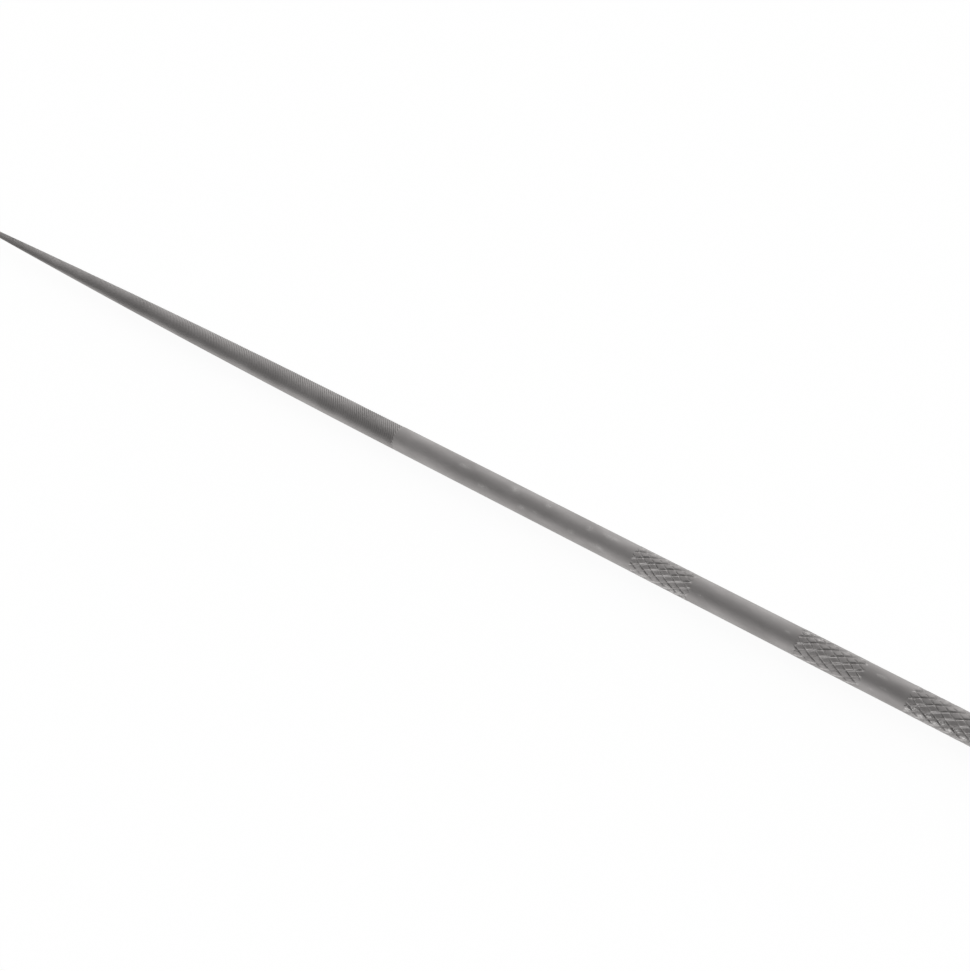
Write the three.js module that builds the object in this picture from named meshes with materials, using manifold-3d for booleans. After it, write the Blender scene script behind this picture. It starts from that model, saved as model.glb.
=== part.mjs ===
// Round Swiss pattern needle file, 160 mm long with half its length cut, in millimetres.
// The real file is one bar of tool steel. Each zone of the bar is a mesh of its own, and the zones
// meet face to face: a toothed taper, a plain shank, and a round handle with three knurled bands.
// X runs along the bar from the point to the butt, Z is up, and the origin is the centre of the butt's
// flat face, so the point is at the far end of -X.
import * as THREE from "three";
import { mergeVertices } from "three/addons/utils/BufferGeometryUtils.js";
import Module from "manifold-3d";

const wasm = await Module();
wasm.setup();

// Lengths of the zones along the bar
const cutLength = 80;
const shankLength = 32.4;
const knurlLength = 7.4;
const markingLandLength = 12;
const shortLandLength = 4.7;
const buttLandLength = 8.7;

// Girth of the bar
const barDiameter = 3;
const pointDiameter = 0.36;
const buttEdgeRadius = 0.35;

// Teeth: a steep face towards the point and a long back, on rows that wind round the bar
const toothPitch = 0.9; // along the bar
const toothDepth = 0.11;
const toothSlantDeg = 36; // of a row from square to the bar
const toothFaceShare = 0.2; // of the pitch that the steep face takes
const deepestToothShare = 0.3; // of the bar's radius, the most that a tooth may be deep
const toothSides = 16;
// The cut is made in stretches, from the point up, with fewer rows where the bar is thinner.
const stretchLengthShares = [0.15, 0.2, 0.25, 0.4];

// Knurl: two families of V grooves that cross and leave diamonds with flat tops
const knurlStarts = 11;
const knurlAngleDeg = 30.6; // of a groove to the bar's axis
const knurlGrooveDepth = 0.12; // below the plain bar
const knurlGrooveWidth = 0.24;
const knurlRise = 0.03; // of the rolled diamonds above the plain bar
const knurlLeadIn = 0.25; // length of the slope up to the diamonds at each end of a band

// Facets of round stretches, and how far cutting bodies run past what they cut
const plainSides = 32;
const knurlSides = 2 * knurlStarts;
const arcSteps = 4;
const overrun = 1;

const barRadius = barDiameter / 2;
const pointRadius = pointDiameter / 2;
const handleLength = 3 * knurlLength + markingLandLength + shortLandLength + buttLandLength;
const shoulderX = -(handleLength + shankLength); // where the teeth end
const pointX = shoulderX - cutLength;

const darkCutSteel = new THREE.MeshStandardMaterial({ color: 0x6f6d6b, roughness: 0.55, metalness: 1 });
const satinSteel = new THREE.MeshStandardMaterial({ color: 0x7f7d7b, roughness: 0.42, metalness: 1 });
const knurledSteel = new THREE.MeshStandardMaterial({ color: 0x787674, roughness: 0.5, metalness: 1 });

// A place on the bar. Angle 0 is up, and it grows anticlockwise as seen from the butt.
function onBar(x, radius, angle) {
  return new THREE.Vector3(x, -radius * Math.sin(angle), radius * Math.cos(angle));
}

function toSolid(geometry) {
  const bare = new THREE.BufferGeometry();
  bare.setAttribute("position", geometry.getAttribute("position"));
  bare.setIndex(geometry.getIndex());
  const merged = mergeVertices(bare);
  return new wasm.Manifold(
    new wasm.Mesh({
      numProp: 3,
      vertProperties: merged.getAttribute("position").array,
      triVerts: new Uint32Array(merged.getIndex().array),
    }),
  );
}

function toGeometry(solid) {
  const mesh = solid.getMesh();
  const geometry = new THREE.BufferGeometry();
  geometry.setAttribute("position", new THREE.BufferAttribute(mesh.vertProperties, 3));
  geometry.setIndex(new THREE.BufferAttribute(mesh.triVerts, 1));
  geometry.computeVertexNormals();
  return geometry;
}

// A closed body from its points, and faces that each list three points anticlockwise as seen from outside.
function closedBody(points, faces) {
  const geometry = new THREE.BufferGeometry().setFromPoints(points);
  geometry.setIndex(faces.flat());
  return toSolid(geometry);
}

// A turned body. Its profile holds [x, radius] pairs, and starts and ends on the axis.
function turned(profile, sides) {
  const halfFacet = Math.PI / sides; // puts a flat facet at the top and the bottom
  const outline = profile.map(([x, radius]) => new THREE.Vector2(radius, x));
  return new THREE.LatheGeometry(outline, sides, halfFacet).rotateZ(-Math.PI / 2);
}

// Profile points round a quarter circle, from one angle to another. Angle 0 points to the butt.
function arc(centreX, centreRadius, size, fromAngle, toAngle) {
  const pairs = [];
  for (let step = 0; step <= arcSteps; step++) {
    const angle = fromAngle + ((toAngle - fromAngle) * step) / arcSteps;
    pairs.push([centreX + size * Math.cos(angle), centreRadius + size * Math.sin(angle)]);
  }
  return pairs;
}

// The cut is parallel at the shoulder and falls away faster and faster towards the point.
function cutRadius(x) {
  const wayToPoint = Math.max(0, (shoulderX - x) / cutLength);
  const radius = barRadius - (barRadius - pointRadius) * wayToPoint ** 2;
  return Math.max(radius, pointRadius / 2);
}

// Toothed bar a little longer than asked at both ends, like a screw with several starts. Its lines wind
// round the bar together, one along the foot of each tooth's face and the next along the tooth's edge.
function toothedBar(fromX, toX, starts) {
  const lead = starts * toothPitch;
  const firstX = fromX - lead - overrun;
  const teeth = Math.ceil((toX + overrun - firstX) / toothPitch);
  const lines = 2 * teeth;
  const linesPerTurn = 2 * starts;
  const points = [];
  for (let line = 0; line < lines; line++) {
    const isEdge = line % 2 === 1;
    const place = Math.floor(line / 2) + (isEdge ? toothFaceShare : 0);
    for (let side = 0; side < toothSides; side++) {
      const x = firstX + place * toothPitch + (lead * side) / toothSides;
      const depth = isEdge ? 0 : Math.min(toothDepth, deepestToothShare * cutRadius(x));
      points.push(onBar(x, cutRadius(x) - depth, (2 * Math.PI * (side + 0.5)) / toothSides));
    }
  }
  // Past the last side comes the first side again, on the line that has wound once round to there.
  const at = (line, side) => (side < toothSides ? line * toothSides + side : (line + linesPerTurn) * toothSides);
  const faces = [];
  for (let line = 0; line < lines - 1; line++) {
    const isPastLast = line + 1 + linesPerTurn >= lines;
    for (let side = 0; side < (isPastLast ? toothSides - 1 : toothSides); side++) {
      faces.push([at(line, side), at(line + 1, side + 1), at(line + 1, side)]);
      faces.push([at(line, side), at(line, side + 1), at(line + 1, side + 1)]);
    }
  }
  // Each end closes in a fan, over its outer line and the step where the screw begins or ends.
  const lastLine = lines - 1;
  const pointRim = [];
  const buttRim = [];
  for (let side = 0; side < toothSides; side++) {
    pointRim.push(at(0, side));
    buttRim.push(at(lastLine, side));
  }
  for (let line = linesPerTurn; line > 0; line--) {
    pointRim.push(at(line, 0));
    buttRim.push(at(lastLine - 1 - linesPerTurn + line, toothSides - 1));
  }
  const pointHub = points.push(onBar(firstX - overrun, 0, 0)) - 1;
  const buttHub = points.push(onBar(firstX + teeth * toothPitch + lead + overrun, 0, 0)) - 1;
  for (let i = 0; i < pointRim.length; i++) {
    const next = (i + 1) % pointRim.length;
    faces.push([pointHub, pointRim[next], pointRim[i]]);
    faces.push([buttHub, buttRim[i], buttRim[next]]);
  }
  return closedBody(points, faces);
}

// The whole cut: each stretch of toothed bar is trimmed square, and the first is rounded at the point.
function toothedTaper() {
  const reach = barRadius + overrun;
  const pointArc = arc(pointX + pointRadius, 0, pointRadius, Math.PI, Math.PI / 2);
  let opening = [...pointArc, [pointX + reach, reach]];
  let fromX = pointX;
  let taper = null;
  for (const lengthShare of stretchLengthShares) {
    const toX = fromX + lengthShare * cutLength;
    const girth = 2 * Math.PI * cutRadius((fromX + toX) / 2);
    const slant = Math.tan(THREE.MathUtils.degToRad(toothSlantDeg));
    const starts = Math.max(1, Math.round((girth * slant) / toothPitch));
    const trim = toSolid(turned([...opening, [toX, reach], [toX, 0]], plainSides));
    const stretch = toothedBar(fromX, toX, starts).intersect(trim);
    taper = taper === null ? stretch : taper.add(stretch);
    opening = [[toX, 0], [toX, reach]];
    fromX = toX;
  }
  return taper;
}

// A cutter for one groove, with a V section, wound by hand 1 or -1 from its angle at the band's end.
function grooveCutter(hand, startAngle) {
  const angle = THREE.MathUtils.degToRad(knurlAngleDeg);
  const facet = (2 * Math.PI) / knurlSides;
  const step = (facet * barRadius) / Math.tan(angle); // along the bar, from one crossing to the next
  const rootRadius = barRadius - knurlGrooveDepth;
  const topRadius = barRadius + knurlRise + overrun;
  const slope = knurlGrooveWidth / 2 / Math.cos(angle) / (knurlGrooveDepth + knurlRise);
  const halfTop = ((topRadius - rootRadius) * slope) / topRadius;
  const sections = Math.ceil(knurlLength / step) + 3;
  const points = [];
  const faces = [[0, 2, 1]];
  for (let section = 0; section < sections; section++) {
    const x = (section - 1) * step;
    const turn = startAngle + hand * (section - 1) * facet;
    points.push(onBar(x, rootRadius, turn));
    points.push(onBar(x, topRadius, turn - halfTop));
    points.push(onBar(x, topRadius, turn + halfTop));
  }
  const last = points.length - 3;
  for (let here = 0; here < last; here++) {
    const beside = here % 3 === 2 ? here - 2 : here + 1;
    faces.push([here, beside, here + 3], [beside, beside + 3, here + 3]);
  }
  faces.push([last, last + 1, last + 2]);
  return closedBody(points, faces);
}

function knurledBand() {
  const crestRadius = barRadius + knurlRise;
  const profile = [
    [0, 0],
    [0, barRadius],
    [knurlLeadIn, crestRadius],
    [knurlLength - knurlLeadIn, crestRadius],
    [knurlLength, barRadius],
    [knurlLength, 0],
  ];
  let band = toSolid(turned(profile, knurlSides));
  for (let start = 0; start < knurlStarts; start++) {
    const startAngle = (2 * Math.PI * (start + 0.25)) / knurlStarts;
    band = band.subtract(grooveCutter(1, startAngle)).subtract(grooveCutter(-1, startAngle));
  }
  return band;
}

function plainBar(length) {
  return turned([[0, 0], [0, barRadius], [length, barRadius], [length, 0]], plainSides);
}

// The last land of the handle, with its edge rounded down to the flat face of the butt.
function buttLand() {
  const arcX = buttLandLength - buttEdgeRadius;
  const edge = arc(arcX, barRadius - buttEdgeRadius, buttEdgeRadius, Math.PI / 2, 0);
  return turned([[0, 0], [0, barRadius], ...edge, [buttLandLength, 0]], plainSides);
}

const file = new THREE.Group();

function addZone(name, geometry, material, x) {
  const mesh = new THREE.Mesh(geometry, material);
  mesh.name = name;
  mesh.position.x = x;
  file.add(mesh);
}

addZone("toothed_taper", toGeometry(toothedTaper()), darkCutSteel, 0);

// From the shoulder on, each zone starts where the one before it ends.
const knurl = toGeometry(knurledBand());
const zones = [
  ["plain_shank", plainBar(shankLength), satinSteel, shankLength],
  ["front_knurl", knurl, knurledSteel, knurlLength],
  ["marking_land", plainBar(markingLandLength), satinSteel, markingLandLength],
  ["middle_knurl", knurl, knurledSteel, knurlLength],
  ["short_land", plainBar(shortLandLength), satinSteel, shortLandLength],
  ["rear_knurl", knurl, knurledSteel, knurlLength],
  ["butt_land", buttLand(), satinSteel, buttLandLength],
];
let zoneX = shoulderX;
for (const [name, geometry, material, length] of zones) {
  addZone(name, geometry, material, zoneX);
  zoneX += length;
}

export default file;
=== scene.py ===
# A round Swiss pattern needle file, one bar of tool steel, lying on a white table in soft light.
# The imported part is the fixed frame. Each zone of the bar gets a finer piece over its solid: rows of
# teeth about three to a millimetre, round ground lands, and knurled bands with rolled rims.
import math
import bmesh
import bpy
from mathutils import Matrix, Vector, noise


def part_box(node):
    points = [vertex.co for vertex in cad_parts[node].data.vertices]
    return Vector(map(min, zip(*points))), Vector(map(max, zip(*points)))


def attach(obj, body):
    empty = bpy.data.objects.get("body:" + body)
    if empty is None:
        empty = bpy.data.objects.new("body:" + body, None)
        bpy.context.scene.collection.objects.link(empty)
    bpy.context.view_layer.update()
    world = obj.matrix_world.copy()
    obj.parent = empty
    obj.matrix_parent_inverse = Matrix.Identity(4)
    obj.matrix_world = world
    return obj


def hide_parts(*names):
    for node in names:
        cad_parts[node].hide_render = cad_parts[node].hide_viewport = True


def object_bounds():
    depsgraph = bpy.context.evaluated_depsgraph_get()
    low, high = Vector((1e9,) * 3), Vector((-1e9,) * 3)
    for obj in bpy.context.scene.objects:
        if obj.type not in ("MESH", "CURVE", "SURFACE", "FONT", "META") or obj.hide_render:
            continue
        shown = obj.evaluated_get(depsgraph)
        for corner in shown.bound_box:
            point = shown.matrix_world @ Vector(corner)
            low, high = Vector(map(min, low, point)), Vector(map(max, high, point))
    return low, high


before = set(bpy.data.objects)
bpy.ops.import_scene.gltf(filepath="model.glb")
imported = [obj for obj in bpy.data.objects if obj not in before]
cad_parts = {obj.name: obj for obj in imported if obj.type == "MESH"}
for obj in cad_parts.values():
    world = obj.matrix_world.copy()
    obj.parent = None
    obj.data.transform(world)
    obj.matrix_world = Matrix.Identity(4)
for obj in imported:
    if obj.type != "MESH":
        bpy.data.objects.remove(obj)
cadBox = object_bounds()

mm = 0.001  # pieces are modelled in millimetres and scaled to metres when they are finished
sameSpot = 0.0001  # mm, corners nearer than this are one
seamSpot = 0.0005  # mm, the same where a sheet closes on itself
print("frame loaded,", len(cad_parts), "zones")


# The view of the photograph: from above and behind the butt, with the point running out to the left
photoView = {
    "place": (-10.5, -81.4, 105.23),  # mm
    "lookAt": (-67.31, -0.45, 0.0),  # mm
    "lens": 46.34,  # mm
    "sensor": 36,  # mm across the long side
    "clipStart": 1,  # mm
}


def makeCamera():
    lens = bpy.data.cameras.new("photo_view")
    lens.lens = photoView["lens"]
    lens.sensor_width = photoView["sensor"]
    lens.clip_start = photoView["clipStart"] * mm
    camera = bpy.data.objects.new("photo_view", lens)
    place = Vector(photoView["place"]) * mm
    turn = (Vector(photoView["lookAt"]) * mm - place).to_track_quat("-Z", "Y")
    camera.matrix_world = Matrix.Translation(place) @ turn.to_matrix().to_4x4()
    bpy.context.scene.collection.objects.link(camera)
    bpy.context.scene.camera = camera
    bpy.context.scene.view_settings.view_transform = "Standard"
    print("camera set")


makeCamera()


# Shaders

def hexColor(code):  # an sRGB hex value as the linear colour that a shader takes
    channels = [int(code[i:i + 2], 16) / 255 for i in (1, 3, 5)]
    linear = [c / 12.92 if c <= 0.04045 else ((c + 0.055) / 1.055) ** 2.4 for c in channels]
    return (*linear, 1)


def perMetre(size):  # texture scale for details of a size in mm
    return 1 / (size * mm)


def addNode(tree, kind, settings=None, values=None, links=None):
    node = tree.nodes.new(kind)
    for name, value in (settings or {}).items():
        setattr(node, name, value)
    for name, value in (values or {}).items():
        node.inputs[name].default_value = value
    for name, socket in (links or {}).items():
        tree.links.new(socket, node.inputs[name])
    return node


def newMaterial(name):
    material = bpy.data.materials.new(name)
    material.use_nodes = True
    material.node_tree.nodes.clear()
    return material


# A Mix node that is set to colours takes and gives them at these sockets.
colorMix = {"data_type": "RGBA"}
mixA, mixB, mixOut = 6, 7, 2


# Every zone is one steel: hardened grey tool steel with a fine blasted grain, so light spreads over it
# softly, and with cloudy patches from hardening that run along the bar.
steel = {
    "grainDetail": 2, "grainRoughness": 0.6,
    "cloudDetail": 3, "cloudRoughness": 0.55,
    "cloudAlong": 0.4,  # scale along the bar against scale across it
    "cloudRange": (0.3, 0.7),  # of the noise, from the deep colour to the pale one
    "speckleRange": (0.4, 0.6),  # of the grain, over which rubbed metal breaks up
}


def startSteel(name, finish):
    material = newMaterial(name)
    tree = material.node_tree
    place = addNode(tree, "ShaderNodeTexCoord").outputs["Object"]
    grain = addNode(
        tree, "ShaderNodeTexNoise", None,
        {"Scale": perMetre(finish["grainSize"]), "Detail": steel["grainDetail"],
         "Roughness": steel["grainRoughness"]},
        {"Vector": place},
    )
    drawnOut = addNode(
        tree, "ShaderNodeMapping", None, {"Scale": (steel["cloudAlong"], 1, 1)}, {"Vector": place},
    )
    cloud = addNode(
        tree, "ShaderNodeTexNoise", None,
        {"Scale": perMetre(finish["cloudSize"]), "Detail": steel["cloudDetail"],
         "Roughness": steel["cloudRoughness"]},
        {"Vector": drawnOut.outputs["Vector"]},
    )
    patch = addNode(
        tree, "ShaderNodeMapRange", None,
        {"From Min": steel["cloudRange"][0], "From Max": steel["cloudRange"][1]},
        {"Value": cloud.outputs["Fac"]},
    )
    color = addNode(
        tree, "ShaderNodeMix", colorMix,
        {mixA: hexColor(finish["deep"]), mixB: hexColor(finish["pale"])}, {0: patch.outputs["Result"]},
    )
    rough = addNode(
        tree, "ShaderNodeMapRange", None,
        {"To Min": finish["roughest"], "To Max": finish["smoothest"]}, {"Value": patch.outputs["Result"]},
    )
    return material, color.outputs[mixOut], rough.outputs["Result"], grain.outputs["Fac"]


def endSteel(material, finish, color, rough, grain):
    tree = material.node_tree
    bump = addNode(
        tree, "ShaderNodeBump", None,
        {"Strength": 1, "Distance": finish["grainHeight"] * mm}, {"Height": grain},
    )
    shader = addNode(
        tree, "ShaderNodeBsdfPrincipled", None, {"Metallic": 1},
        {"Base Color": color, "Roughness": rough, "Normal": bump.outputs["Normal"]},
    )
    addNode(tree, "ShaderNodeOutputMaterial", links={"Surface": shader.outputs["BSDF"]})
    return material


# Brighter metal where an attribute is high, broken up by the grain. Rubbed metal is smoother too.
def addRubbed(material, finish, color, rough, grain, attribute):
    tree = material.node_tree
    mark = addNode(tree, "ShaderNodeAttribute", {"attribute_name": attribute})
    strength = addNode(
        tree, "ShaderNodeMapRange", None,
        {"From Min": finish["rubbedFrom"], "From Max": 1, "To Max": finish["rubbedShare"]},
        {"Value": mark.outputs["Fac"]},
    )
    speckle = addNode(
        tree, "ShaderNodeMapRange", None,
        {"From Min": steel["speckleRange"][0], "From Max": steel["speckleRange"][1]}, {"Value": grain},
    )
    amount = addNode(
        tree, "ShaderNodeMath", {"operation": "MULTIPLY"}, None,
        {0: strength.outputs["Result"], 1: speckle.outputs["Result"]},
    )
    rubbed = addNode(
        tree, "ShaderNodeMix", colorMix, {mixB: hexColor(finish["rubbed"])},
        {0: amount.outputs["Value"], mixA: color},
    )
    polished = addNode(
        tree, "ShaderNodeMapRange", None, {"To Max": finish["rubbedRough"]},
        {"Value": amount.outputs["Value"], "To Min": rough},
    )
    return rubbed.outputs[mixOut], polished.outputs["Result"]


# The relief attribute runs from 0 at the bottom of a groove to 1 at a rim. The skin of the bar is halfway.
skinRelief = 0.5


# Grooves and gullets: darker at the bottom, partly from oil and scale that stay there and partly as painted
# shade of the recess, and with walls that the tool pressed smooth
def addGrooves(material, finish, color, rough):
    tree = material.node_tree
    relief = addNode(tree, "ShaderNodeAttribute", {"attribute_name": "relief"})
    depth = addNode(
        tree, "ShaderNodeMapRange", None,
        {"From Max": finish["grimeAndShadeTop"], "To Min": finish["grimeAndShadeShare"], "To Max": 0},
        {"Value": relief.outputs["Fac"]},
    )
    grimedAndShaded = addNode(
        tree, "ShaderNodeMix", colorMix, {mixB: hexColor(finish["grimeAndShade"])},
        {0: depth.outputs["Result"], mixA: color},
    )
    pressed = addNode(
        tree, "ShaderNodeMapRange", None, {"From Max": skinRelief, "To Min": finish["grooveRough"]},
        {"Value": relief.outputs["Fac"], "To Max": rough},
    )
    return grimedAndShaded.outputs[mixOut], pressed.outputs["Result"]


# Flanks that the roller burnished: brighter metal, and closer to a mirror
def addBurnished(material, finish, color, rough):
    tree = material.node_tree
    flank = addNode(tree, "ShaderNodeAttribute", {"attribute_name": "burnished"}).outputs["Fac"]
    bright = addNode(
        tree, "ShaderNodeMix", colorMix, {mixB: hexColor(finish["burnished"])}, {0: flank, mixA: color},
    )
    smooth = addNode(
        tree, "ShaderNodeMapRange", None, {"To Max": finish["burnishedRough"]},
        {"Value": flank, "To Min": rough},
    )
    return bright.outputs[mixOut], smooth.outputs["Result"]


# Ground and lightly blasted steel: satin, with broad soft highlights and a few bright handling scuffs
groundFinish = {
    "pale": "#b6b3b2", "deep": "#aaa7a6", "rubbed": "#e4e2e0",
    "roughest": 0.67, "smoothest": 0.6,
    "rubbedFrom": 0, "rubbedRough": 0.45, "rubbedShare": 0.48,
    "cloudSize": 1.7, "grainSize": 0.09, "grainHeight": 0.004,  # mm
}


def makeGroundSteel():
    material, color, rough, grain = startSteel("ground_tool_steel", groundFinish)
    color, rough = addRubbed(material, groundFinish, color, rough, grain, "scuff")
    return endSteel(material, groundFinish, color, rough, grain)


# File-cut steel: darker than the shank, because its rows of teeth shade each other, with bright edges
cutFinish = {
    # The grime colour stands for oil and scale together with painted shade in the gullets.
    "pale": "#b3b0af", "deep": "#a7a4a3", "rubbed": "#d2cfcd", "grimeAndShade": "#636160",
    "roughest": 0.66, "smoothest": 0.56, "grooveRough": 0.6,
    "rubbedFrom": 0.8, "rubbedRough": 0.42, "rubbedShare": 0.5,
    "grimeAndShadeTop": 0.45, "grimeAndShadeShare": 0.75,  # the relief up to which grime and painted shade show, and their share at the bottom
    "cloudSize": 3.2, "grainSize": 0.06, "grainHeight": 0.003,  # mm
}


def makeCutSteel():
    material, color, rough, grain = startSteel("file_cut_tool_steel", cutFinish)
    color, rough = addGrooves(material, cutFinish, color, rough)
    color, rough = addRubbed(material, cutFinish, color, rough, grain, "relief")
    return endSteel(material, cutFinish, color, rough, grain)


# Knurled steel: the roller leaves grooves, darker at the bottom from grime and painted shade, and raises
# burred rims, brighter partly from rubbing hands and partly as a painted highlight. Its deeper grooves are
# burnished, and show dark or bright by what they mirror.
knurledFinish = {
    "pale": "#b3b0af", "deep": "#a7a4a3", "rubbed": "#eae8e6", "grimeAndShade": "#5e5c5b", "burnished": "#bab7b6",
    "roughest": 0.65, "smoothest": 0.56, "grooveRough": 0.34,
    # On the knurl's rims the rubbed colour is partly wear and partly a painted highlight on the burrs.
    "rubbedFrom": 0.6, "rubbedRough": 0.36, "rubbedShare": 1,
    # The grime keys give oil and scale together with painted shade at the bottoms of the grooves.
    "grimeAndShadeTop": 0.4, "grimeAndShadeShare": 0.7, "burnishedRough": 0.26,
    "cloudSize": 1.7, "grainSize": 0.09, "grainHeight": 0.004,  # mm
}


def makeKnurledSteel():
    material, color, rough, grain = startSteel("knurled_tool_steel", knurledFinish)
    color, rough = addGrooves(material, knurledFinish, color, rough)
    color, rough = addBurnished(material, knurledFinish, color, rough)
    # Rims with burrs turn bright here: partly rubbed wear, partly a painted highlight.
    color, rough = addRubbed(material, knurledFinish, color, rough, grain, "relief")
    return endSteel(material, knurledFinish, color, rough, grain)


groundSteel = makeGroundSteel()
cutSteel = makeCutSteel()
knurledSteel = makeKnurledSteel()
print("steels ready")


# The bar

bar = {
    "radius": 1.5,  # mm, of the plain bar
    "sides": 128,
    "ringEvery": 0.25,  # mm along the bar
    "edgeSteps": 8,  # round the edge of the butt
    "sharpAngle": 26,  # degrees between faces, from which an edge looks sharp
}
usualNoise = 0.5  # noise.noise seldom goes further than this either side of 0


def unevenAt(spot, waves, shift=(0, 0, 0)):  # a shift keeps two measures from following each other
    return noise.noise(spot * waves + Vector(shift))


def reliefAt(height):  # from -1 at the bottom of a groove to 1 at a rim
    return skinRelief + (1 - skinRelief) * height


def smoothStep(low, high, value):
    share = min(1, max(0, (value - low) / (high - low)))
    return share * share * (3 - 2 * share)


def zoneSpan(node):  # where a zone of the bar starts and ends, in mm along X
    low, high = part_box(node)
    return low.x / mm, high.x / mm


def onBar(x, radius, angle):  # angle 0 is along +Y, and 90 degrees is up
    return Vector((x, radius * math.cos(angle), radius * math.sin(angle)))


def roomAt(angle):  # mm from the axis to the sides of the solids' box
    across, up = abs(math.cos(angle)), abs(math.sin(angle))
    side, top = cadBox[1].y / mm, cadBox[1].z / mm
    return side / across if across * top > up * side else top / up


def trimAcross(body, x, keepRight):  # cuts the bar square and drops what lies past the cut
    everything = body.verts[:] + body.edges[:] + body.faces[:]
    bmesh.ops.bisect_plane(
        body, geom=everything, dist=sameSpot, plane_co=(x, 0, 0), plane_no=(1, 0, 0),
        clear_inner=keepRight, clear_outer=not keepRight,
    )


def closeEnds(body):
    bmesh.ops.holes_fill(body, edges=[edge for edge in body.edges if edge.is_boundary], sides=0)


def finishPiece(body, name, node, material):
    bmesh.ops.remove_doubles(body, verts=body.verts, dist=sameSpot)
    bmesh.ops.dissolve_degenerate(body, edges=body.edges, dist=sameSpot)
    bmesh.ops.recalc_face_normals(body, faces=body.faces)
    bmesh.ops.scale(body, verts=body.verts, vec=(mm, mm, mm))
    mesh = bpy.data.meshes.new(name)
    body.to_mesh(mesh)
    body.free()
    mesh.shade_smooth()
    mesh.set_sharp_from_angle(angle=math.radians(bar["sharpAngle"]))
    mesh.materials.append(material)
    piece = bpy.data.objects.new(name, mesh)
    bpy.context.scene.collection.objects.link(piece)
    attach(piece, "root")
    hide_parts(node)
    print(name, "has", len(mesh.polygons), "faces")


# Blade: rows of teeth wind round the taper like a screw with many starts. The sheet is spun in rows,
# with gullets at one radius and edges at another, and then laid on the taper.
blade = {
    "rowPitch": 0.3,  # mm between rows where the bar is thickest; they close up towards the point
    "rowsPerTurn": 23,  # which makes the rows lean by 36 degrees
    "faceShare": 0.2,  # of the pitch, the steep face towards the point
    "toothDepth": 0.085,  # mm
    "deepestShare": 0.3,  # of the local radius, the most that a tooth may be deep
    "sides": 72,
    "spareRows": 2,  # past each end, for the trim
    "seamReach": 0.02,  # rows, between corners that meet where a turn closes
    "pointRadius": 0.18,  # mm
    "pointRings": 4,
    "ragged": 0.25,  # share by which the depth varies
    "raggedSpacing": 0.125,  # rows by which the spacing varies
    "raggedEvery": 0.5,  # mm
    "depthWaves": 1.7,  # times as many for the depth as for the spacing
    "worn": 0.35,  # share by which the most worn patches of teeth are shallower
    "wornEvery": 3,  # mm
    "freshLength": 2.5,  # mm next to the shank, where work never wears the teeth
    "endFade": 0.08,  # mm, over which the last teeth run out
    "endUneven": 0.12,  # mm
    "endShare": 0.3,  # more for fewer places where they reach the shank
    "endWaves": 3,  # per radian
}


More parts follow.
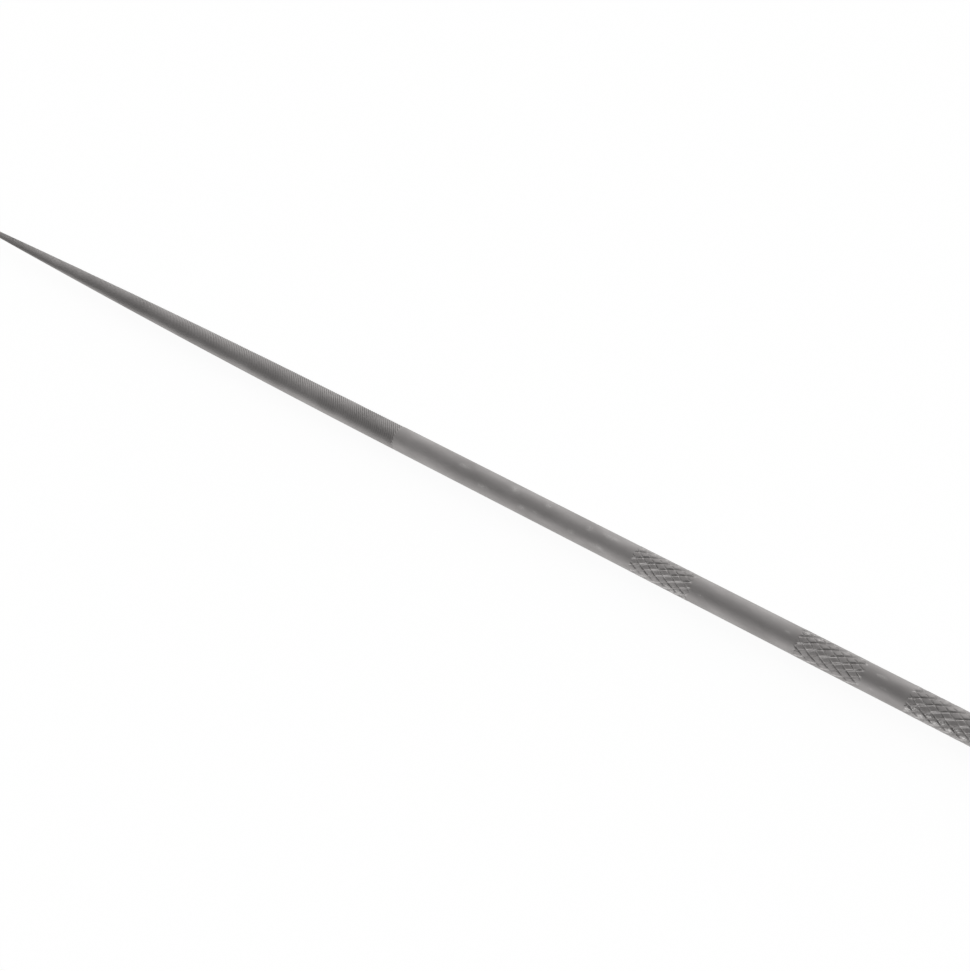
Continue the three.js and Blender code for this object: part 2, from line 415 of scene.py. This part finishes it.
def makeBlade():
    pointX, shoulderX = zoneSpan("toothed_taper")
    cutLength = shoulderX - pointX
    # The taper is a parabola, and the pitch follows the square root of the girth.
    taper = math.sqrt(1 - blade["pointRadius"] / bar["radius"])
    rowsCut = cutLength / blade["rowPitch"] * math.asin(taper) / taper
    rowCount = math.ceil(rowsCut) + blade["rowsPerTurn"] + 2 * blade["spareRows"]
    shoulderRow = rowCount - blade["spareRows"]

    body = bmesh.new()
    relief = body.verts.layers.float.new("relief")
    gulletAt, edgeAt = 1, 2
    corners = []
    for row in range(rowCount):
        corners.append(body.verts.new((row, 0, gulletAt)))
        corners.append(body.verts.new((row + blade["faceShare"], 0, edgeAt)))
    outline = corners + [body.edges.new(pair) for pair in zip(corners, corners[1:])]
    bmesh.ops.spin(
        body, geom=outline, cent=(0, 0, 0), axis=(1, 0, 0), angle=2 * math.pi,
        dvec=(blade["rowsPerTurn"] / blade["sides"], 0, 0), steps=blade["sides"],
    )
    bmesh.ops.remove_doubles(body, verts=body.verts, dist=blade["seamReach"])

    for corner in body.verts:
        row, isEdge = corner.co.x, corner.co.yz.length > (gulletAt + edgeAt) / 2
        angle = math.atan2(corner.co.z, corner.co.y)
        around = onBar(row * blade["rowPitch"], bar["radius"], angle) / blade["raggedEvery"]
        row += blade["raggedSpacing"] * noise.noise(around)
        rowAngle = taper * (shoulderRow - row) * blade["rowPitch"] / cutLength
        x = shoulderX - cutLength / taper * math.sin(rowAngle)
        wayToPoint = max(0, (shoulderX - x) / cutLength)
        radius = bar["radius"] * (1 - (taper * wayToPoint) ** 2)
        endPatch = noise.noise(onBar(0, blade["endWaves"], angle))
        runOut = shoulderX - blade["endUneven"] * max(0, blade["endShare"] + endPatch)
        fade = smoothStep(0, blade["endFade"], runOut - x)
        wornPatch = noise.noise(onBar(x, radius, angle) / blade["wornEvery"])
        wear = blade["worn"] * smoothStep(-usualNoise, usualNoise, wornPatch)
        fade *= 1 - wear * smoothStep(blade["freshLength"], 2 * blade["freshLength"], shoulderX - x)
        depth = min(blade["toothDepth"], blade["deepestShare"] * radius) * fade
        uneven = blade["ragged"] * unevenAt(around, blade["depthWaves"], (0, 9, 0))
        if isEdge:
            radius -= depth * max(0, uneven)
            corner[relief] = reliefAt(fade * (1 - max(0, uneven)))
        else:
            radius -= depth * (1 + uneven)
            corner[relief] = reliefAt(-fade)
        corner.co = onBar(x, radius, angle)

    # The point is a small dome, made ring by ring from the trimmed end.
    domeX = pointX + blade["pointRadius"]
    trimAcross(body, shoulderX, keepRight=False)
    trimAcross(body, domeX, keepRight=True)
    middleX = (pointX + shoulderX) / 2
    rim = [edge for edge in body.edges if edge.is_boundary and edge.verts[0].co.x < middleX]
    for ring in range(blade["pointRings"]):
        here = math.pi / 2 * ring / blade["pointRings"]
        there = math.pi / 2 * (ring + 1) / blade["pointRings"]
        made = bmesh.ops.extrude_edge_only(body, edges=rim)["geom"]
        rim = [part for part in made if isinstance(part, bmesh.types.BMEdge) and part.is_boundary]
        tip = list({corner for edge in rim for corner in edge.verts})
        narrower = math.cos(there) / math.cos(here)
        forward = blade["pointRadius"] * (math.sin(here) - math.sin(there))
        bmesh.ops.scale(body, verts=tip, vec=(1, narrower, narrower))
        bmesh.ops.translate(body, verts=tip, vec=(forward, 0, 0))
    bmesh.ops.remove_doubles(body, verts=tip, dist=seamSpot)
    closeEnds(body)
    finishPiece(body, "blade", "toothed_taper", cutSteel)


makeBlade()


# Plain stretches of the bar are turned. Scuffs are marked on them, each with its place from the start
# of its stretch, the angle round the bar, and how long and wide it is.
scuffs = {
    "plain_shank": [
        (12.9, 149, 1.6, 0.5), (16.6, 96, 1.3, 1.0), (18.4, 154, 0.9, 0.6), (21.1, 91, 0.9, 0.7),
        (24.9, 150, 0.8, 0.5), (26.7, 101, 0.9, 0.9), (28.5, 155, 1.6, 0.8), (9.7, 104, 2.0, 0.5),
        (20.2, 146, 0.6, 0.3), (29.4, 92, 2.4, 0.6), (9.8, 262, 1.4, 0.5), (20.3, 310, 1.7, 0.4),
        (29.1, 240, 0.9, 0.5), (3.1, 25, 1.1, 0.4), (14.2, 348, 1.3, 0.6), (24.4, 20, 1.9, 0.5),
    ],
    "marking_land": [
        (1.2, 140, 0.7, 0.3), (10.9, 112, 0.8, 0.3), (5.5, 250, 1.2, 0.5), (8.3, 20, 0.9, 0.4),
    ],
    "short_land": [
        (1.7, 101, 1.5, 0.5), (1.2, 165, 0.5, 0.35), (2.4, 139, 0.8, 0.25), (3.3, 280, 0.9, 0.4),
    ],
    "butt_land": [
        (2.2, 120, 1.0, 0.4), (5.9, 60, 1.4, 0.5), (4.4, 200, 0.8, 0.4), (7.3, 310, 1.1, 0.4),
    ],
}
scuffReach = 1.4  # times the size in the table, to the end of a scuff's soft edge
scuffRagged = 0.5  # share by which that edge is uneven
scuffWaves = 3  # per mm


def scuffAt(node, place, angle):
    uneven = 1 + scuffRagged * unevenAt(onBar(place, bar["radius"], angle), scuffWaves)
    strongest = 0
    for x, degrees, length, width in scuffs[node]:
        turn = math.remainder(angle - math.radians(degrees), 2 * math.pi) * bar["radius"]
        away = 2 * math.hypot((place - x) / length, turn / width) * uneven
        strongest = max(strongest, 1 - smoothStep(0, scuffReach, away))
    return strongest


def makePlain(name, node, edgeRadius=0):
    startX, endX = zoneSpan(node)
    straightEnd = endX - edgeRadius
    rings = max(2, round((straightEnd - startX) / bar["ringEvery"]))
    profile = [(startX, 0)]
    for ring in range(rings + 1):
        profile.append((startX + (straightEnd - startX) * ring / rings, bar["radius"]))
    arcSteps = bar["edgeSteps"] if edgeRadius else 0
    for step in range(1, arcSteps + 1):
        bend = math.pi / 2 * step / arcSteps
        inward = edgeRadius * (1 - math.cos(bend))
        profile.append((straightEnd + edgeRadius * math.sin(bend), bar["radius"] - inward))
    profile.append((endX, 0))

    body = bmesh.new()
    scuff = body.verts.layers.float.new("scuff")
    corners = [body.verts.new((x, 0, radius)) for x, radius in profile]
    outline = corners + [body.edges.new(pair) for pair in zip(corners, corners[1:])]
    bmesh.ops.spin(
        body, geom=outline, cent=(0, 0, 0), axis=(1, 0, 0), angle=2 * math.pi,
        steps=bar["sides"], use_merge=True,
    )
    for corner in body.verts:
        corner[scuff] = scuffAt(node, corner.co.x - startX, math.atan2(corner.co.z, corner.co.y))
    finishPiece(body, name, node, groundSteel)


buttEdge = 0.35  # mm, the rounding of the butt's edge
makePlain("shank", "plain_shank")
makePlain("marking_stretch", "marking_land")
makePlain("short_stretch", "short_land")
makePlain("butt", "butt_land", buttEdge)


# Knurl: a sheet of diamonds is modelled flat, with x along the bar, y round it and z as height over the
# plain bar, and then wrapped. Two families of grooves cross, 11 to the right and 11 to the left. The
# roller for one family bit deeper, so its grooves run through the others.
knurl = {
    "starts": 11,
    "angle": 30.6,  # degrees between a groove and the bar
    "grooveWidth": 0.29,  # mm
    "otherShare": 0.75,  # of that width, for the family that the deeper one cuts through
    "grooveDepth": 0.082,  # mm
    "otherDepth": 0.057,  # mm
    "rimWidth": 0.07,  # mm
    "rimHeight": 0.012,  # mm
    "burnishedFrom": 0.03,  # mm under the skin, from where a deeper groove is fully burnished
    "burrHeight": 0.035,  # mm, at strength 1
    "burrEvery": 0.15,  # mm
    "burrShare": 0.7,  # more for fewer gaps between burrs
    "burrEdge": 0.4,  # of a patch's reach, from where its burrs get lower
    "cuts": 3,  # across each face of a diamond, so that it bends
    "endFade": 0.1,  # mm, over which the grooves run out at the ends of a band
    "endUneven": 0.22,  # mm
    "endShare": 0.4,  # more for fewer grooves that reach the end
    "endWaves": 0.9,  # per mm
    "wobble": 0.03,  # mm sideways
    "wobbleWaves": 1.1,  # per mm
    "uneven": 0.22,  # share by which the deeper roller pressed harder or lighter
    "otherUneven": 0.44,  # the same for the other roller
    "pressWaves": 0.7,  # per mm
}
girthPitch = 2 * math.pi * bar["radius"] / knurl["starts"]
barPitch = girthPitch / math.tan(math.radians(knurl["angle"]))
linePitch = girthPitch * math.cos(math.radians(knurl["angle"]))
# Where two grooves cross on each band, in mm from its start and degrees round the bar, and where burrs
# stand on its rims, raised and brightened as a painted highlight: the middle of that patch, its reach in mm
# and degrees, and how strong they are
bands = {
    "front_knurl": {"name": "front_band", "crossing": (0.47, 156.9), "burrs": (6.2, 182, 2.4, 32, 0.8)},
    "middle_knurl": {"name": "middle_band", "crossing": (2.85, 110.8), "burrs": (1.2, 66, 3.0, 36, 0.6)},
    "rear_knurl": {"name": "rear_band", "crossing": (-0.38, 137.8), "burrs": (3.0, 165, 7.0, 26, 1.4)},
}


# A grid that is turned by 45 degrees and stretched makes the diamonds.
def makeDiamonds(body, startX, endX, crossingX, crossingY):
    cells = 2 * math.ceil(knurl["starts"] / 2 + (endX - startX) / barPitch + 1)
    bmesh.ops.create_grid(body, x_segments=cells, y_segments=cells, size=cells / 2)
    bmesh.ops.rotate(body, verts=body.verts, cent=(0, 0, 0), matrix=Matrix.Rotation(math.pi / 4, 3, "Z"))
    stretch = (barPitch / math.sqrt(2), girthPitch / math.sqrt(2), 1)
    bmesh.ops.scale(body, verts=body.verts, vec=stretch)
    bmesh.ops.translate(body, verts=body.verts, vec=(crossingX, crossingY, -knurl["grooveDepth"]))

    halfGirth = math.pi * bar["radius"]
    outside = []
    for face in body.faces:
        middle = face.calc_center_median()
        isPastEnd = not startX - barPitch < middle.x < endX + barPitch
        if isPastEnd or abs(middle.y - crossingY) > halfGirth + girthPitch:
            outside.append(face)
    bmesh.ops.delete(body, geom=outside, context="FACES")

    topHeight = knurl["grooveDepth"] + knurl["rimHeight"]
    bmesh.ops.inset_individual(
        body, faces=body.faces[:], thickness=knurl["grooveWidth"] / 2, depth=topHeight,
        use_even_offset=True,
    )
    tops = [face for face in body.faces if face.calc_center_median().z > knurl["rimHeight"] / 2]
    bmesh.ops.inset_individual(
        body, faces=tops, thickness=knurl["rimWidth"], depth=-knurl["rimHeight"], use_even_offset=True,
    )
    bmesh.ops.subdivide_edges(body, edges=body.edges[:], cuts=knurl["cuts"], use_grid_fill=True)
    for side in (-1, 1):
        everything = body.verts[:] + body.edges[:] + body.faces[:]
        bmesh.ops.bisect_plane(
            body, geom=everything, dist=sameSpot, plane_co=(0, crossingY + side * halfGirth, 0),
            plane_no=(0, side, 0), clear_outer=True,
        )
    trimAcross(body, startX, keepRight=True)
    trimAcross(body, endX, keepRight=False)


def wallHeight(lines, width, depth):  # over the bar, for a place counted in groove lines
    away = abs(math.remainder(lines, 1)) * linePitch
    return (depth + knurl["rimHeight"]) * min(1, away / (width / 2)) - depth


def burrAndGlintAt(band, place, angle):
    x, degrees, length, spread, strength = band["burrs"]
    turn = math.degrees(math.remainder(angle - math.radians(degrees), 2 * math.pi))
    return strength * smoothStep(1, knurl["burrEdge"], math.hypot((place - x) / length, turn / spread))


def makeBand(node, band):
    startX, endX = zoneSpan(node)
    crossingX = startX + band["crossing"][0]
    crossingY = math.radians(band["crossing"][1]) * bar["radius"]
    body = bmesh.new()
    makeDiamonds(body, startX, endX, crossingX, crossingY)
    relief = body.verts.layers.float.new("relief")
    burnished = body.verts.layers.float.new("burnished")
    for corner in body.verts:
        x, y, height = corner.co
        angle = y / bar["radius"]
        spot = onBar(x, bar["radius"], angle)
        endPatch = unevenAt(spot, knurl["endWaves"], (0, 0, 5))
        runOut = knurl["endUneven"] * max(0, knurl["endShare"] + endPatch)
        fade = smoothStep(0, knurl["endFade"], min(x - startX, endX - x) - runOut)

        along, around = (x - crossingX) / barPitch, (y - crossingY) / girthPitch
        pressed = knurl["uneven"] * unevenAt(spot, knurl["pressWaves"], (0, 3, 0))
        press = knurl["grooveDepth"] * (1 + pressed)
        otherPressed = knurl["otherUneven"] * unevenAt(spot, knurl["pressWaves"])
        otherPress = knurl["otherDepth"] * (1 + otherPressed)
        deeperWall = wallHeight(along + around, knurl["grooveWidth"], press)
        otherWall = wallHeight(along - around, knurl["otherShare"] * knurl["grooveWidth"], otherPress)
        wall = min(deeperWall, otherWall)
        height = min(wall, height) if height >= 0 else wall
        burrPatch = max(0, knurl["burrShare"] + noise.noise(spot / knurl["burrEvery"]))
        isOnRim = height > knurl["rimHeight"] / 4
        burr = burrAndGlintAt(band, x - startX, angle) * burrPatch
        burr *= fade if isOnRim else 0

        # Burrs raise the relief, which the knurled steel paints bright: partly wear, partly a painted
        # highlight.
        corner[relief] = reliefAt(max(-1, min(1, fade * height / knurl["grooveDepth"] + burr)))
        if wall == deeperWall:
            corner[burnished] = smoothStep(0, knurl["burnishedFrom"], -wall) * fade
        x += knurl["wobble"] * unevenAt(spot, knurl["wobbleWaves"]) * fade
        sideways = knurl["wobble"] * unevenAt(spot, knurl["wobbleWaves"], (7, 0, 0)) * fade
        angle += sideways / bar["radius"]
        radius = bar["radius"] + height * fade + burr * knurl["burrHeight"]
        corner.co = onBar(x, min(radius, roomAt(angle)), angle)
    bmesh.ops.remove_doubles(body, verts=body.verts, dist=seamSpot)
    closeEnds(body)
    finishPiece(body, band["name"], node, knurledSteel)


for node, band in bands.items():
    makeBand(node, band)


# The room: a white table, a room that is dark overhead where the camera stands and bright behind the file
room = {
    "tableSize": 6000,  # mm
    "tableSquares": 8,  # each way
    "tableColor": "#f4f4f2",
    "tableGlow": 0.93,
    "shadowColor": "#606060",
    "wallColor": "#ffffff",
    "darkAzimuth": 20,  # degrees from -Y towards +X
    "darkElevation": 35,
    "darkest": 0.147,
    "brightest": 1.54,
}


def makeTable():
    body = bmesh.new()
    squares = room["tableSquares"]
    bmesh.ops.create_grid(body, x_segments=squares, y_segments=squares, size=room["tableSize"] * mm / 2)
    bmesh.ops.translate(body, verts=body.verts, vec=(0, 0, cadBox[0].z))
    mesh = bpy.data.meshes.new("table")
    body.to_mesh(mesh)
    body.free()
    table = bpy.data.objects.new("table", mesh)
    bpy.context.scene.collection.objects.link(table)

    # White paper. The camera and the steel see it glow a little, so that it stays white under its shadow.
    material = newMaterial("white_paper")
    tree = material.node_tree
    path = addNode(tree, "ShaderNodeLightPath")
    seen = addNode(
        tree, "ShaderNodeMath", {"operation": "MAXIMUM"}, None,
        {0: path.outputs["Is Camera Ray"], 1: path.outputs["Is Glossy Ray"]},
    )
    seenThrough = addNode(
        tree, "ShaderNodeMath", {"operation": "MAXIMUM"}, None,
        {0: seen.outputs["Value"], 1: path.outputs["Is Transmission Ray"]},
    )
    paper = addNode(tree, "ShaderNodeBsdfDiffuse", None, {"Color": hexColor(room["tableColor"])})
    shaded = addNode(tree, "ShaderNodeBsdfDiffuse", None, {"Color": hexColor(room["shadowColor"])})
    glow = addNode(tree, "ShaderNodeEmission", None, {"Strength": room["tableGlow"]})
    white = addNode(tree, "ShaderNodeAddShader", None, None, {0: glow.outputs[0], 1: shaded.outputs[0]})
    either = addNode(
        tree, "ShaderNodeMixShader", None, None,
        {0: seenThrough.outputs["Value"], 1: paper.outputs[0], 2: white.outputs[0]},
    )
    addNode(tree, "ShaderNodeOutputMaterial", links={"Surface": either.outputs[0]})
    mesh.materials.append(material)


def makeLight():
    world = bpy.data.worlds.new("room")
    world.use_nodes = True
    bpy.context.scene.world = world
    tree = world.node_tree
    tree.nodes.clear()
    direction = addNode(tree, "ShaderNodeTexCoord").outputs["Generated"]
    azimuth, elevation = math.radians(room["darkAzimuth"]), math.radians(room["darkElevation"])
    level = math.cos(elevation)
    darkSide = (level * math.sin(azimuth), -level * math.cos(azimuth), math.sin(elevation))
    towards = addNode(
        tree, "ShaderNodeVectorMath", {"operation": "DOT_PRODUCT"}, {1: darkSide}, {0: direction},
    )
    strength = addNode(
        tree, "ShaderNodeMapRange", None,
        {"From Min": -1, "From Max": 1, "To Min": room["brightest"], "To Max": room["darkest"]},
        {"Value": towards.outputs["Value"]},
    )
    sky = addNode(
        tree, "ShaderNodeBackground", None, {"Color": hexColor(room["wallColor"])},
        {"Strength": strength.outputs["Result"]},
    )
    addNode(tree, "ShaderNodeOutputWorld", links={"Surface": sky.outputs["Background"]})


makeTable()
makeLight()
print("table and light set")
